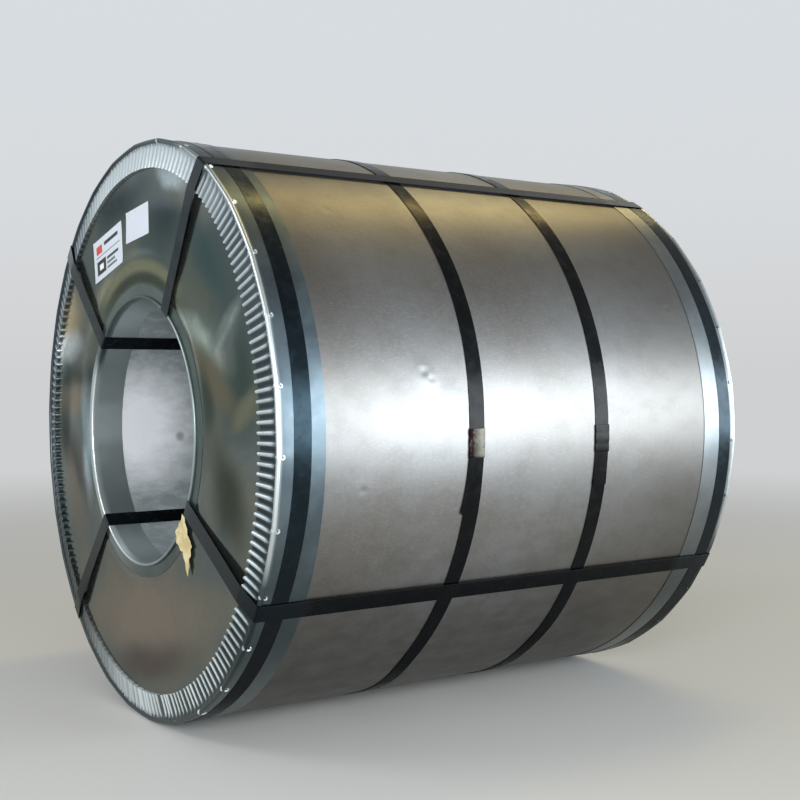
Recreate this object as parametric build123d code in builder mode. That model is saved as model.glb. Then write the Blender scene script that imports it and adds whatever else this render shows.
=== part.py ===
# A packed steel coil lying on its side, with its bore level and its labelled end facing -Y.
# The wound strip is lined and wrapped in galvanised sheet, its ends are covered by flat ring plates,
# crimped rings guard its edges, and steel bands hold the packing: four round the girth, four through the eye.
# Millimetres, +Z up. The origin is on the floor, midway between the ends and under the coil's axis.

import os
from math import asin, cos, degrees, radians, sin, sqrt

from build123d import *

os.makedirs("parts", exist_ok=True)

# The wound strip. Its turns have slipped towards the labelled end, the inner ones most, so each end is a shallow cone
coil_bore_radius = 254.0
coil_outer_radius = 548.0
coil_width = 1030.0
bore_slip = 7.0

# Sheets that line and wrap it
liner_thickness = 0.8
liner_seam_gap = 4.0
liner_seam_angle = 20.0
wrap_thickness = 0.8
wrap_lap_length = 70.0
wrap_lap_angle = 212.0
cover_thickness = 0.8

# Inner edge rings, which hold the liner and the end covers at the bore
inner_ring_thickness = 0.8
inner_ring_depth = 68.0
inner_lip_width = 27.0
inner_bead_radius = 3.0

# Outer edge rings, with a smooth leg on the wrap, a rolled bead and a crimped leg flared off the cover
outer_ring_thickness = 1.0
outer_leg_length = 84.0
outer_bead_radius = 4.2
outer_bead_rise = 2.0
face_leg_width = 50.0
face_leg_root_gap = 2.6
face_leg_flare = 11.0

# Steel bands and their seals
band_width = 31.75
band_thickness = 0.65
seal_length = 50.0
seal_thickness = 0.8
seal_clearance = 0.15
girth_band_margins = (39.0, 26.0)
girth_middle_places = (-130.0, 159.0)
girth_seal_angles = (112.0, -1.0, -1.0, 205.0)
girth_tail_lengths = (100.0, 100.0, 66.0, 100.0)
eye_band_angles = (60.0, 137.0, 228.0, 330.0)
eye_seal_reach = 0.62
eye_tail_length = 70.0
eye_flare_bend = 6.0

# Paper labels on the front cover, and a scrap of torn card caught under a band at the bore
label_thickness = 0.3
printed_label_size = (160.0, 86.0)
printed_label_centre = (-171.0, 354.0)
printed_label_tilt = 12.5
blank_label_size = (116.0, 61.0)
blank_label_centre = (-15.0, 399.0)
blank_label_tilt = 5.5
card_thickness = 0.8
card_outline = (
    (195.0, -137.0), (195.0, -161.0), (214.0, -182.0), (230.0, -202.0), (217.0, -217.0),
    (215.0, -245.0), (204.0, -246.0), (194.0, -226.0), (181.0, -218.0), (157.0, -205.0),
    (164.0, -193.0), (161.0, -174.0), (178.0, -160.0),
)

# Running clearances
seat_gap = 0.05
eye_gap = 0.1
edge_gap = 0.3

# Radii and planes that follow from the sizes above
half_width = coil_width / 2
liner_radius = coil_bore_radius - liner_thickness
eye_radius = liner_radius - inner_ring_thickness
wrap_radius = coil_outer_radius + wrap_thickness
lap_radius = wrap_radius + wrap_thickness
outer_leg_radius = lap_radius + outer_ring_thickness
rim_radius = outer_leg_radius + outer_bead_rise
bead_centre_radius = rim_radius - outer_bead_radius
cover_face = half_width + cover_thickness
bead_centre_reach = cover_face + outer_bead_radius / 2
lip_face = cover_face + inner_ring_thickness
inner_bead_reach = lip_face + inner_bead_radius / 2
inner_bead_crest = inner_bead_reach + inner_bead_radius
slip_slope = bore_slip / (coil_outer_radius - coil_bore_radius)
girth_band_places = (-half_width + girth_band_margins[0], *girth_middle_places, half_width - girth_band_margins[1])
axis_height = rim_radius

coil_axis = Axis((0, 0, axis_height), (0, 1, 0))


def radial_plane(angle):
    """Half-section at an angle from +X towards +Z: local x runs along the coil's axis, local y out from it."""
    turn = radians(angle)
    return Plane(origin=(0, 0, axis_height), x_dir=(0, 1, 0), z_dir=(sin(turn), 0, -cos(turn)))


def block(low_y, high_y, low_r, high_r, mode=Mode.ADD):
    """Rectangle in a half-section, between two places along the axis and two radii."""
    with Locations(((low_y + high_y) / 2, (low_r + high_r) / 2)):
        Rectangle(high_y - low_y, high_r - low_r, mode=mode)


def cone_block(low_y, high_y, low_r, high_r, slope=slip_slope, mode=Mode.ADD):
    """Block whose two end faces lean with the slipped turns. It is stated as it would be with no slip."""
    low_slip = slope * (coil_outer_radius - low_r)
    high_slip = slope * (coil_outer_radius - high_r)
    Polygon(
        (low_y - low_slip, low_r),
        (high_y - low_slip, low_r),
        (high_y - high_slip, high_r),
        (low_y - high_slip, high_r),
        align=None,
        mode=mode,
    )


def arc_angle(length, radius):
    return degrees(length / radius)


def finish(piece, label):
    piece.label = label
    export_step(piece, f"parts/{label}.step")


def make_coil():
    with BuildPart() as coil:
        with BuildSketch(radial_plane(90)):
            cone_block(-half_width, half_width, coil_bore_radius, coil_outer_radius)
        revolve(axis=coil_axis)
    finish(coil.part, "coil")


def make_liner():
    seam = arc_angle(liner_seam_gap, liner_radius)
    with BuildPart() as liner:
        with BuildSketch(radial_plane(liner_seam_angle)):
            cone_block(-half_width, half_width, liner_radius, coil_bore_radius)
        revolve(axis=coil_axis, revolution_arc=360 - seam)
    finish(liner.part, "bore_liner")


def make_wrap():
    with BuildPart() as wrap:
        with BuildSketch(radial_plane(wrap_lap_angle)):
            block(-half_width, half_width, coil_outer_radius, wrap_radius)
        revolve(axis=coil_axis)
        with BuildSketch(radial_plane(wrap_lap_angle)):
            block(-half_width, half_width, wrap_radius, lap_radius)
        revolve(axis=coil_axis, revolution_arc=arc_angle(wrap_lap_length, wrap_radius))
    finish(wrap.part, "outer_wrap")


def make_cover(side, label):
    with BuildPart() as cover:
        with BuildSketch(radial_plane(90)):
            low, high = sorted((side * half_width, side * cover_face))
            cone_block(low, high, liner_radius + seat_gap, coil_outer_radius)
        revolve(axis=coil_axis)
    finish(cover.part, label)


def inner_ring_section(slip):
    """Section of an inner ring as on the front: bore leg, rolled bead and flat lip. It is carried out by the slip."""
    slope = slip / (coil_outer_radius - coil_bore_radius)
    leg_end = -half_width + inner_ring_depth
    with Locations((-inner_bead_reach - slip, eye_radius + inner_bead_radius)):
        Circle(inner_bead_radius)
    cone_block(-cover_face, leg_end, liner_radius, eye_radius + inner_lip_width, slope, mode=Mode.SUBTRACT)
    block(-inner_bead_reach - slip, leg_end - slip, eye_radius, liner_radius)
    cone_block(-lip_face, -cover_face, liner_radius, eye_radius + inner_lip_width, slope)


def outer_ring_section(slip):
    """Section of an outer ring as on the front: smooth leg, rolled bead and flared face leg. No slip reaches it."""
    root_radius = bead_centre_radius - outer_bead_radius / 2
    root = cover_face + face_leg_root_gap
    tip = root + face_leg_flare
    with Locations((-bead_centre_reach, bead_centre_radius)):
        Circle(outer_bead_radius)
    Polygon(
        (-root, root_radius),
        (-tip, root_radius - face_leg_width),
        (-tip + outer_ring_thickness, root_radius - face_leg_width),
        (-root + outer_ring_thickness, root_radius),
        align=None,
    )
    block(-bead_centre_reach, -bead_centre_reach + outer_leg_length, lap_radius, outer_leg_radius)
    block(-cover_face - edge_gap, half_width, 0, lap_radius, mode=Mode.SUBTRACT)


def make_ring(section, side, label):
    with BuildPart() as ring:
        with BuildSketch(radial_plane(90)):
            section(-side * bore_slip)
        revolve(axis=coil_axis)
        if side > 0:
            mirror(about=Plane.XZ, mode=Mode.REPLACE)
    finish(ring.part, label)


def seal_section(place, seat, layers_top):
    """Channel that grips two layers of band: seat is their underside, layers_top their upper face."""
    half_inside = band_width / 2 + seal_clearance
    half_outside = half_inside + seal_thickness
    roof = layers_top + seat_gap
    block(place - half_outside, place + half_outside, seat, roof + seal_thickness)
    block(place - half_inside, place + half_inside, seat, roof, mode=Mode.SUBTRACT)


def make_girth_band(number, place, seal_angle, tail_length, seat):
    """A band round the girth. It laps itself under the seal, and its tail runs on past it."""
    top = seat + band_thickness
    half_seal = arc_angle(seal_length / 2, top)
    lap = 2 * half_seal + arc_angle(tail_length, top)
    half_band = band_width / 2
    with BuildPart() as band:
        with BuildSketch(radial_plane(seal_angle + half_seal)):
            block(place - half_band, place + half_band, seat, top)
        revolve(axis=coil_axis)
        with BuildSketch(radial_plane(seal_angle + half_seal)):
            block(place - half_band, place + half_band, top, top + band_thickness)
        revolve(axis=coil_axis, revolution_arc=lap)
    finish(band.part, f"girth_band_{number}")
    with BuildPart() as seal:
        with BuildSketch(radial_plane(seal_angle + half_seal)):
            seal_section(place, seat + seat_gap, top + band_thickness)
        revolve(axis=coil_axis, revolution_arc=2 * half_seal)
    finish(seal.part, f"girth_seal_{number}")


def eye_band_route():
    """Corners of the loop's inner face in a half-section, front lower one first, with their bend radii."""
    bore_flat = sqrt(eye_radius**2 - (band_width / 2) ** 2) - eye_gap / 5
    lip = inner_bead_crest + eye_gap
    root_radius = bead_centre_radius - outer_bead_radius / 2
    flare = cover_face + face_leg_root_gap + face_leg_flare + eye_gap
    bead = bead_centre_reach + outer_bead_radius + eye_gap
    rim = [
        (-flare, root_radius - face_leg_width, eye_flare_bend),
        (-bead, rim_radius + eye_gap, outer_bead_radius + eye_gap),
    ]
    far_rim = [(-y, r, bend) for y, r, bend in reversed(rim)]
    lips = [(y - bore_slip, bore_flat, inner_bead_radius + eye_gap) for y in (-lip, lip)]
    return lips[:1] + rim + far_rim + lips[1:]


def make_eye_band(number, angle):
    """A band through the eye: a closed loop down the bore, up both end faces and along the outside."""
    route = eye_band_route()
    corners = [(y, r) for y, r, bend in route]
    bends = [bend for y, r, bend in route]
    with BuildPart() as band:
        with BuildSketch(radial_plane(angle)):
            with BuildLine():
                FilletPolyline(*corners, radius=bends, close=True)
            make_face()
            offset(amount=band_thickness, kind=Kind.ARC)
            with BuildLine():
                FilletPolyline(*corners, radius=bends, close=True)
            make_face(mode=Mode.SUBTRACT)
        extrude(amount=band_width / 2, both=True)
        back_leg = eye_back_leg(angle)
        with BuildSketch(back_leg):
            with Locations((eye_tail_length / 2, 0)):
                Rectangle(seal_length + eye_tail_length, band_width)
        extrude(amount=band_thickness)
    finish(band.part, f"eye_band_{number}")
    with BuildPart() as seal:
        with BuildSketch(back_leg.offset(-band_thickness)):
            Rectangle(seal_length, band_width + 2 * (seal_clearance + seal_thickness))
        extrude(amount=2 * band_thickness + seat_gap + seal_thickness)
        with BuildSketch(back_leg.offset(-band_thickness)):
            Rectangle(seal_length, band_width + 2 * seal_clearance)
        extrude(amount=2 * band_thickness + seat_gap, mode=Mode.SUBTRACT)
    finish(seal.part, f"eye_seal_{number}")


def eye_back_leg(angle):
    """Plane on the outer side of the band's leg up the back face, where its two ends are joined.
    Local x runs up the leg towards the rim, and local z away from the coil."""
    route = eye_band_route()
    low_y, low_r, _ = route[-1]
    high_y, high_r, _ = route[-2]
    length = sqrt((high_y - low_y) ** 2 + (high_r - low_r) ** 2)
    along = Vector(high_y - low_y, high_r - low_r) / length
    away = Vector(along.Y, -along.X)
    spot = Vector(low_y, low_r) + along * (length * eye_seal_reach) + away * band_thickness
    section = radial_plane(angle)
    return Plane(
        origin=section.from_local_coords(spot),
        x_dir=section.from_local_coords(spot + along) - section.from_local_coords(spot),
        z_dir=section.from_local_coords(spot + away) - section.from_local_coords(spot),
    )


def cover_plane(centre):
    """Plane that touches the front cover at a place on it, given from the axis: local x is +X, local y is +Z."""
    x, z = centre
    radius = sqrt(x**2 + z**2)
    reach = cover_face + slip_slope * (coil_outer_radius - radius)
    outwards = (slip_slope * x / radius, -1, slip_slope * z / radius)
    return Plane(origin=(x, -reach, axis_height + z), x_dir=(1, 0, 0), z_dir=outwards)


def make_label(size, centre, tilt, label):
    with BuildPart() as paper:
        with BuildSketch(cover_plane(centre)):
            Rectangle(*size, rotation=tilt)
        extrude(amount=label_thickness)
    finish(paper.part, label)


def make_card():
    """The card lies flat on the crest of the front inner ring's bead."""
    reach = inner_bead_crest + bore_slip + seat_gap
    with BuildPart() as card:
        with BuildSketch(Plane(origin=(0, -reach, axis_height), x_dir=(1, 0, 0), z_dir=(0, -1, 0))):
            with BuildLine():
                Polyline(*card_outline, close=True)
            make_face()
        extrude(amount=card_thickness)
    finish(card.part, "torn_card")


def make_all():
    make_coil()
    make_liner()
    make_wrap()
    for side, name in ((-1, "front"), (1, "back")):
        make_cover(side, f"end_cover_{name}")
        make_ring(inner_ring_section, side, f"inner_ring_{name}")
        make_ring(outer_ring_section, side, f"outer_ring_{name}")
    ring_reach = bead_centre_reach - outer_leg_length
    girth_bands = zip(girth_band_places, girth_seal_angles, girth_tail_lengths)
    for number, (place, seal_angle, tail_length) in enumerate(girth_bands, start=1):
        over_ring = abs(place) + band_width / 2 > ring_reach
        seat = (outer_leg_radius if over_ring else lap_radius) + seat_gap
        make_girth_band(number, place, seal_angle, tail_length, seat)
    for number, angle in enumerate(eye_band_angles, start=1):
        make_eye_band(number, angle)
    make_label(printed_label_size, printed_label_centre, printed_label_tilt, "printed_label")
    make_label(blank_label_size, blank_label_centre, blank_label_tilt, "blank_label")
    make_card()


make_all()
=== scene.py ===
# A packed steel coil, dressed round its fixed frame: galvanised wrap and end covers, crimped edge rings,
# black steel bands, paper labels and a scrap of card. Metres, with +Y along the bore and +Z up.
import random
from math import acos, atan2, copysign, cos, degrees, exp, hypot, pi, radians, sin, sqrt, tan

import bpy
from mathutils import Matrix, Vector


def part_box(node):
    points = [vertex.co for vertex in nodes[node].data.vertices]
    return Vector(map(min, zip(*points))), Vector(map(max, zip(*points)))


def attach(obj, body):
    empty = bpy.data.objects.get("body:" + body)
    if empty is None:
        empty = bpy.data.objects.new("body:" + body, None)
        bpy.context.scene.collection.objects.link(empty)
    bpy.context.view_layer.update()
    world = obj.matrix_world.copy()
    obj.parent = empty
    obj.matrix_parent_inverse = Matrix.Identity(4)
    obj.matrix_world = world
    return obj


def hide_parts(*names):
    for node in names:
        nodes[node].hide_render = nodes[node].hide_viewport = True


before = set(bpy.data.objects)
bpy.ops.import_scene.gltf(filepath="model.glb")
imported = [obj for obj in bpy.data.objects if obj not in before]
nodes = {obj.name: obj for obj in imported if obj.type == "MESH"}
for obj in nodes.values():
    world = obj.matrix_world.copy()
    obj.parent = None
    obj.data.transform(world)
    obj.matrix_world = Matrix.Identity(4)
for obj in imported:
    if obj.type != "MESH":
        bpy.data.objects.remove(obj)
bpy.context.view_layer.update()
print("frame loaded")

mm = 0.001
ringLow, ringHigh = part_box("outer_ring_front")
axisHeight = (ringLow.z + ringHigh.z) / 2

coil = {
    "halfWidth": 515 * mm,
    "outerRadius": 548 * mm,
    "boreRadius": 254 * mm,
    "boreSlip": 7 * mm,  # how far the innermost turns have slipped towards the labelled end
    "sheet": 0.8 * mm,  # the packing sheets
}


# Small helpers: selecting, modifiers and closing a piece

def deselectAll():
    if bpy.context.object and bpy.context.object.mode != "OBJECT":
        bpy.ops.object.mode_set(mode="OBJECT")
    bpy.ops.object.select_all(action="DESELECT")


def makeActive(piece):
    deselectAll()
    piece.select_set(True)
    bpy.context.view_layer.objects.active = piece


def selectVertices(piece, rule):
    # leaves edit mode on, with just the vertices that pass the rule selected
    makeActive(piece)
    bpy.ops.object.mode_set(mode="EDIT")
    bpy.ops.mesh.select_mode(type="VERT")
    bpy.ops.mesh.select_all(action="DESELECT")
    bpy.ops.object.mode_set(mode="OBJECT")
    for vertex in piece.data.vertices:
        vertex.select = bool(rule(vertex.co))
    bpy.ops.object.mode_set(mode="EDIT")


def applyModifier(piece, kind, **settings):
    makeActive(piece)
    modifier = piece.modifiers.new(kind.lower(), kind)
    for key, value in settings.items():
        setattr(modifier, key, value)
    bpy.ops.object.modifier_apply(modifier=modifier.name)


def closeUp(piece, merge=0.01 * mm):
    makeActive(piece)
    bpy.ops.object.mode_set(mode="EDIT")
    bpy.ops.mesh.select_all(action="SELECT")
    bpy.ops.mesh.remove_doubles(threshold=merge)
    bpy.ops.mesh.normals_make_consistent(inside=False)
    bpy.ops.object.mode_set(mode="OBJECT")


def smooth(piece, angle=35):
    makeActive(piece)
    bpy.ops.object.shade_smooth_by_angle(angle=radians(angle))


def thicken(piece, thickness, side=0.0):
    applyModifier(piece, "SOLIDIFY", thickness=thickness, offset=side)


def joinInto(piece, others):
    makeActive(piece)
    for other in others:
        other.select_set(True)
    bpy.ops.object.join()
    return piece


def copyOf(piece):
    makeActive(piece)
    bpy.ops.object.duplicate(linked=False)
    return bpy.context.object


def moveVertices(piece, rule):
    # each vertex goes where the rule says, for shapes that no single operator gives
    for vertex in piece.data.vertices:
        vertex.co = rule(vertex.co)
    piece.data.update()


def markWearAndPaintedLight(piece, rule):
    # a tone from 0 to 1 for the finish to read: how far the sheet is polished or worn, and on the rings also
    # painted highlights and painted shade
    wearAndPaintedLight = piece.data.attributes.get("wearAndPaintedLight") or piece.data.attributes.new("wearAndPaintedLight", "FLOAT", "POINT")
    for vertex, value in zip(piece.data.vertices, wearAndPaintedLight.data):
        value.value = rule(vertex.co)


def dress(piece, name, node, slotName, *finishes):
    piece.name = name
    piece.data.name = name
    piece.data.materials.clear()
    for finish in finishes:
        piece.data.materials.append(finish)
    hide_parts(node)
    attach(piece, "root")
    return piece


# Places round the coil: an angle runs from +X towards +Z, as seen from the labelled end

def polar(place):
    return hypot(place.x, place.z - axisHeight), atan2(place.z - axisHeight, place.x)


def onCoil(y, radius, angle):
    return Vector((radius * cos(angle), y, axisHeight + radius * sin(angle)))


def slipAt(radius):
    return coil["boreSlip"] * (coil["outerRadius"] - radius) / (coil["outerRadius"] - coil["boreRadius"])


def eased(share):
    # kept between 0 and 1, with a soft start and end
    share = min(1, max(0, share))
    return share * share * (3 - 2 * share)


def blendAngles(stops, angle):
    # a smooth value round the circle from (degrees, value) stops
    stops = sorted((a % 360, v) for a, v in stops)
    at = degrees(angle) % 360
    after = next((i for i, stop in enumerate(stops) if stop[0] > at), 0)
    (a0, v0), (a1, v1) = stops[after - 1], stops[after]
    return v0 + (v1 - v0) * eased(((at - a0) % 360) / (((a1 - a0) % 360) or 360))


def turnShell(profile, steps):
    # a circle round the coil's axis, extruded from one (y, radius) of the profile to the next
    y, radius = profile[0]
    deselectAll()
    bpy.ops.mesh.primitive_circle_add(
        vertices=steps, radius=radius, location=(0, y, axisHeight), rotation=(radians(90), 0, 0),
        enter_editmode=True,
    )
    for nextY, nextRadius in profile[1:]:
        bpy.ops.mesh.extrude_region_move(TRANSFORM_OT_translate={"value": (0, nextY - y, 0)})
        scale = nextRadius / radius
        bpy.ops.transform.resize(value=(scale, 1, scale), center_override=(0, nextY, axisHeight))
        y, radius = nextY, nextRadius
    bpy.ops.object.mode_set(mode="OBJECT")
    bpy.ops.object.transform_apply(location=True, rotation=True, scale=True)
    return bpy.context.object


def addWaves(piece, name, size, height, midLevel):
    # long shallow waves in a sheet
    waves = bpy.data.textures.new(name, "CLOUDS")
    waves.noise_scale = size
    waves.noise_depth = 1
    applyModifier(
        piece, "DISPLACE", texture=waves, strength=height, mid_level=midLevel, texture_coords="LOCAL"
    )


def keepArc(piece, start, end):
    # keeps the part of a turned piece from one angle up to another, in degrees, with a little to spare
    def outside(place):
        return (degrees(polar(place)[1]) - start + 0.01) % 360 > end - start + 0.02

    selectVertices(piece, outside)
    bpy.ops.mesh.delete(type="VERT")
    bpy.ops.object.mode_set(mode="OBJECT")


# Materials

def linear(hexCode):
    values = [int(hexCode[i:i + 2], 16) / 255 for i in (1, 3, 5)]
    return [v / 12.92 if v <= 0.04045 else ((v + 0.055) / 1.055) ** 2.4 for v in values] + [1]


def addNode(tree, kind, inputs=None, **settings):
    node = tree.nodes.new(kind)
    for key, value in settings.items():
        setattr(node, key, value)
    for key, value in (inputs or {}).items():
        if isinstance(value, bpy.types.NodeSocket):
            tree.links.new(value, node.inputs[key])
        else:
            node.inputs[key].default_value = value
    return node


def startMaterial(name, **settings):
    material = bpy.data.materials.new(name)
    material.use_nodes = True
    tree = material.node_tree
    shader = tree.nodes["Principled BSDF"]
    for key, value in settings.items():
        shader.inputs[key].default_value = value
    places = addNode(tree, "ShaderNodeTexCoord").outputs["Object"]
    return material, tree, shader, places


def finishMaterial(material, colour, roughness, relief, distance, strength):
    # the relief is a pattern, with its depth in metres and how strongly it shows
    tree = material.node_tree
    shader = tree.nodes["Principled BSDF"]
    tree.links.new(colour, shader.inputs["Base Color"])
    if roughness:
        tree.links.new(roughness, shader.inputs["Roughness"])
    bump = addNode(tree, "ShaderNodeBump", {"Height": relief, "Distance": distance, "Strength": strength})
    tree.links.new(bump.outputs[0], shader.inputs["Normal"])
    return material


def patternOf(tree, places, size, detail=3, stretch=(1, 1, 1), offset=(0, 0, 0), rough=0.5):
    # soft noise whose features are about size metres across, times the stretch along each axis
    scale = [1 / (size * s) for s in stretch]
    mapped = addNode(tree, "ShaderNodeMapping", {"Vector": places, "Scale": scale, "Location": offset})
    return addNode(
        tree, "ShaderNodeTexNoise",
        {"Vector": mapped.outputs[0], "Scale": 1.0, "Detail": detail, "Roughness": rough},
    ).outputs["Fac"]


def shareOf(tree, *parts, by="ADD", curve="SMOOTHSTEP"):
    # Joins patterns into one value. A part is used as it is, or it is (pattern, low, high, value at low,
    # value at high) and eased from one to the other; without the values it goes from 0 to 1.
    total = None
    for part in parts:
        if isinstance(part, tuple):
            pattern, low, high, *ends = part
            atLow, atHigh = ends or (0.0, 1.0)
            part = addNode(
                tree, "ShaderNodeMapRange",
                {"Value": pattern, "From Min": low, "From Max": high, "To Min": atLow, "To Max": atHigh},
                interpolation_type=curve,
            ).outputs["Result"]
        if total is not None:
            part = addNode(tree, "ShaderNodeMath", {0: total, 1: part}, operation=by).outputs[0]
        total = part
    return total


def layColour(tree, base, colour, *parts, by="ADD", curve="SMOOTHSTEP"):
    # lays a colour over the base, as thickly as the parts say
    share = shareOf(tree, *parts, by=by, curve=curve)
    return addNode(
        tree, "ShaderNodeMix", {0: share, 6: base, 7: linear(colour)}, data_type="RGBA", clamp_factor=True
    ).outputs[2]


def distanceOff(tree, value, middle):
    # how far a value is from a middle one, either way
    off = addNode(tree, "ShaderNodeMath", {0: value, 1: middle}, operation="SUBTRACT").outputs[0]
    return addNode(tree, "ShaderNodeMath", {0: off}, operation="ABSOLUTE").outputs[0]


def aboutAxis(tree, places):
    # distance from the coil's axis, and height above it
    flat = addNode(
        tree, "ShaderNodeVectorMath", {0: places, 1: (1, 0, 1), 2: (0, 0, -axisHeight)},
        operation="MULTIPLY_ADD",
    ).outputs[0]
    radius = addNode(tree, "ShaderNodeVectorMath", {0: flat}, operation="LENGTH").outputs["Value"]
    return radius, addNode(tree, "ShaderNodeSeparateXYZ", {"Vector": flat}).outputs["Z"]


def makeWrapFinish():
    # Hot-dip galvanised sheet, skin-passed: dull silver with faint rolling streaks round the coil, and soft
    # clouds where the zinc and the oil film vary. Painted shade darkens it towards both ends and towards the
    # floor.
    material, tree, shader, places = startMaterial("galvanisedWrapSheet", Metallic=1.0)
    streaks = patternOf(tree, places, 3.0 * mm, detail=4, stretch=(30, 1, 30), rough=0.6)
    grain = patternOf(tree, places, 2.6 * mm, detail=4, stretch=(1, 3, 1), rough=0.7)
    mottle = patternOf(tree, places, 30 * mm, detail=5, stretch=(1.2, 1.8, 1.2), rough=0.6)
    clouds = patternOf(tree, places, 230 * mm, stretch=(1.2, 1.5, 1.2), offset=(3.1, 0.4, 1.7))
    parts = addNode(tree, "ShaderNodeSeparateXYZ", {"Vector": places})
    along, height = parts.outputs["Y"], parts.outputs["Z"]
    base = layColour(tree, linear("#83817f"), "#939495", (clouds, 0.33, 0.68))
    base = layColour(tree, base, "#7d7b76", (mottle, 0.3, 0.75, 0, 0.14))
    base = layColour(tree, base, "#b1b2b2", (grain, 0.45, 0.8, 0, 0.4))
    base = layColour(tree, base, "#757473", (streaks, 0.45, 0.8, 0, 0.22))
    # painted shade: darker towards both ends
    base = layColour(tree, base, "#6b6966", (along, 0.0, 0.5, 0, 0.65), (along, -0.3, -0.5, 0, 0.45))
    # painted shade: darker towards the floor, broken up a little by the mottle
    base = layColour(tree, base, "#4f4b44", (height, 0.44, 0.05, 0, 0.85), (mottle, 0.3, 0.7, -0.1, 0.1))
    gloss = shareOf(tree, (mottle, 0.3, 0.7, 0.40, 0.415), (grain, 0.3, 0.7, -0.02, 0.02))
    return finishMaterial(material, base, gloss, shareOf(tree, grain, streaks), 0.02 * mm, 0.35)


# Painted reflections and highlights on the covers, laid into the colour as light and dark patches: x and z
# from the axis, half length, half width, turn in degrees, colour, strength
coverPaintedReflections = (
    (-0.102, 0.450, 0.165, 0.045, 4, "#3d4a4f", 0.85),
    (0.120, 0.400, 0.081, 0.040, -8, "#46555b", 0.80),
    (0.291, 0.318, 0.102, 0.032, -40, "#587071", 0.80),
    (0.146, 0.468, 0.060, 0.019, -13, "#c3d2d5", 0.90),
    (-0.167, 0.274, 0.066, 0.024, 4, "#a39e82", 0.80),
    (0.292, 0.190, 0.074, 0.025, -13, "#8b9a94", 0.70),
    (0.269, 0.178, 0.083, 0.025, -25, "#d2ddd2", 1.00),
    (0.371, 0.189, 0.056, 0.016, 46, "#a9b8b2", 0.85),
    (0.421, 0.100, 0.058, 0.042, -76, "#56655b", 0.85),
    (0.329, 0.104, 0.115, 0.029, -37, "#91866f", 0.90),
    (0.435, 0.049, 0.049, 0.018, 27, "#a5a087", 0.80),
    (0.375, -0.092, 0.087, 0.055, -63, "#3c4438", 0.90),
    (0.297, 0.065, 0.052, 0.023, -77, "#4a5247", 0.70),
    (-0.410, 0.225, 0.081, 0.049, 20, "#c9b894", 1.00),
    (-0.428, 0.166, 0.087, 0.031, 9, "#ffffff", 1.00),
    (-0.377, 0.102, 0.122, 0.026, 8, "#3a463c", 0.90),
    (-0.387, 0.056, 0.097, 0.033, 4, "#948874", 0.90),
    (-0.389, -0.064, 0.126, 0.041, -42, "#3a3c31", 0.90),
    (-0.378, -0.144, 0.095, 0.029, -60, "#85786a", 0.70),
    (-0.288, -0.026, 0.111, 0.030, -84, "#c4d6dd", 0.95),
    (0.016, -0.362, 0.257, 0.089, 8, "#a39588", 0.80),
    (0.040, -0.437, 0.190, 0.033, 15, "#695d56", 0.80),
)
paintedArcs = (  # painted reflections of rings in the sheet over the bore: radius, half width, colour, strength
    (0.315, 0.014, "#b5b08f", 0.9),
    (0.292, 0.012, "#5c5f50", 0.8),
    (0.272, 0.010, "#a8a48a", 0.8),
)
patchWander = 50 * mm  # how far the patches' outlines wander, so that none is a plain oval
patchDepth = 0.2  # along the bore, so that they stay on the covers


def makeCoverFinish():
    # Galvanised sheet with a bright finish: slate grey and glossy, clouded by thin oil and handling, with
    # painted reflections and highlights laid over it as patches and arcs.
    material, tree, shader, places = startMaterial("galvanisedCoverSheet", Metallic=0.92)
    clouds = patternOf(tree, places, 170 * mm, detail=4, offset=(0.3, 2.0, 5.2))
    grain = patternOf(tree, places, 9 * mm, detail=5, rough=0.65)
    base = layColour(tree, linear("#6e7979"), "#83867b", (clouds, 0.36, 0.66))
    warp = addNode(tree, "ShaderNodeTexNoise", {"Vector": places, "Scale": 1 / (110 * mm), "Detail": 2.0})
    warped = addNode(
        tree, "ShaderNodeVectorMath",
        {0: warp.outputs["Color"], 1: (patchWander, 0, patchWander), 2: places}, operation="MULTIPLY_ADD",
    ).outputs[0]
    # each patch paints a light or dark reflection into the sheet's colour
    for x, z, along, across, turn, colour, strength in coverPaintedReflections:
        middle = (x + patchWander / 2, -coil["halfWidth"], axisHeight + z + patchWander / 2)
        local = addNode(
            tree, "ShaderNodeMapping",
            {
                "Vector": warped, "Location": middle,
                "Rotation": (0, -radians(turn), 0), "Scale": (along, patchDepth, across),
            },
            vector_type="TEXTURE",
        ).outputs[0]
        distance = addNode(tree, "ShaderNodeVectorMath", {0: local}, operation="LENGTH").outputs["Value"]
        base = layColour(tree, base, colour, (distance, 1.6, 0.2, 0, strength))
    # painted reflections: faint light and dark arcs over the bore
    base = addPaintedArcs(tree, base, places)
    base = layColour(tree, base, "#63676a", (grain, 0.35, 0.75, 0, 0.25))
    # the darker parts of the colour, oil and painted reflections alike, also take some of the sheen that bare
    # metal has at a flat angle
    tree.links.new(layColour(tree, base, "#ffffff", 0.62), shader.inputs["Specular Tint"])
    gloss = shareOf(tree, (clouds, 0.35, 0.68, 0.12, 0.17), (grain, 0.3, 0.7, -0.02, 0.03))
    return finishMaterial(material, base, gloss, grain, 0.03 * mm, 0.3)


def addPaintedArcs(tree, base, places):
    # the painted reflections show over the bore and die out to its sides
    radius, height = aboutAxis(tree, places)
    upright = addNode(tree, "ShaderNodeMath", {0: height, 1: radius}, operation="DIVIDE").outputs[0]
    above = shareOf(tree, (upright, 0.72, 0.95))
    for at, half, colour, strength in paintedArcs:
        off = distanceOff(tree, radius, at)
        faint = (off, half * 1.6, half * 0.3, 0, strength)
        base = layColour(tree, base, colour, faint, above, by="MULTIPLY")
    return base


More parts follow.
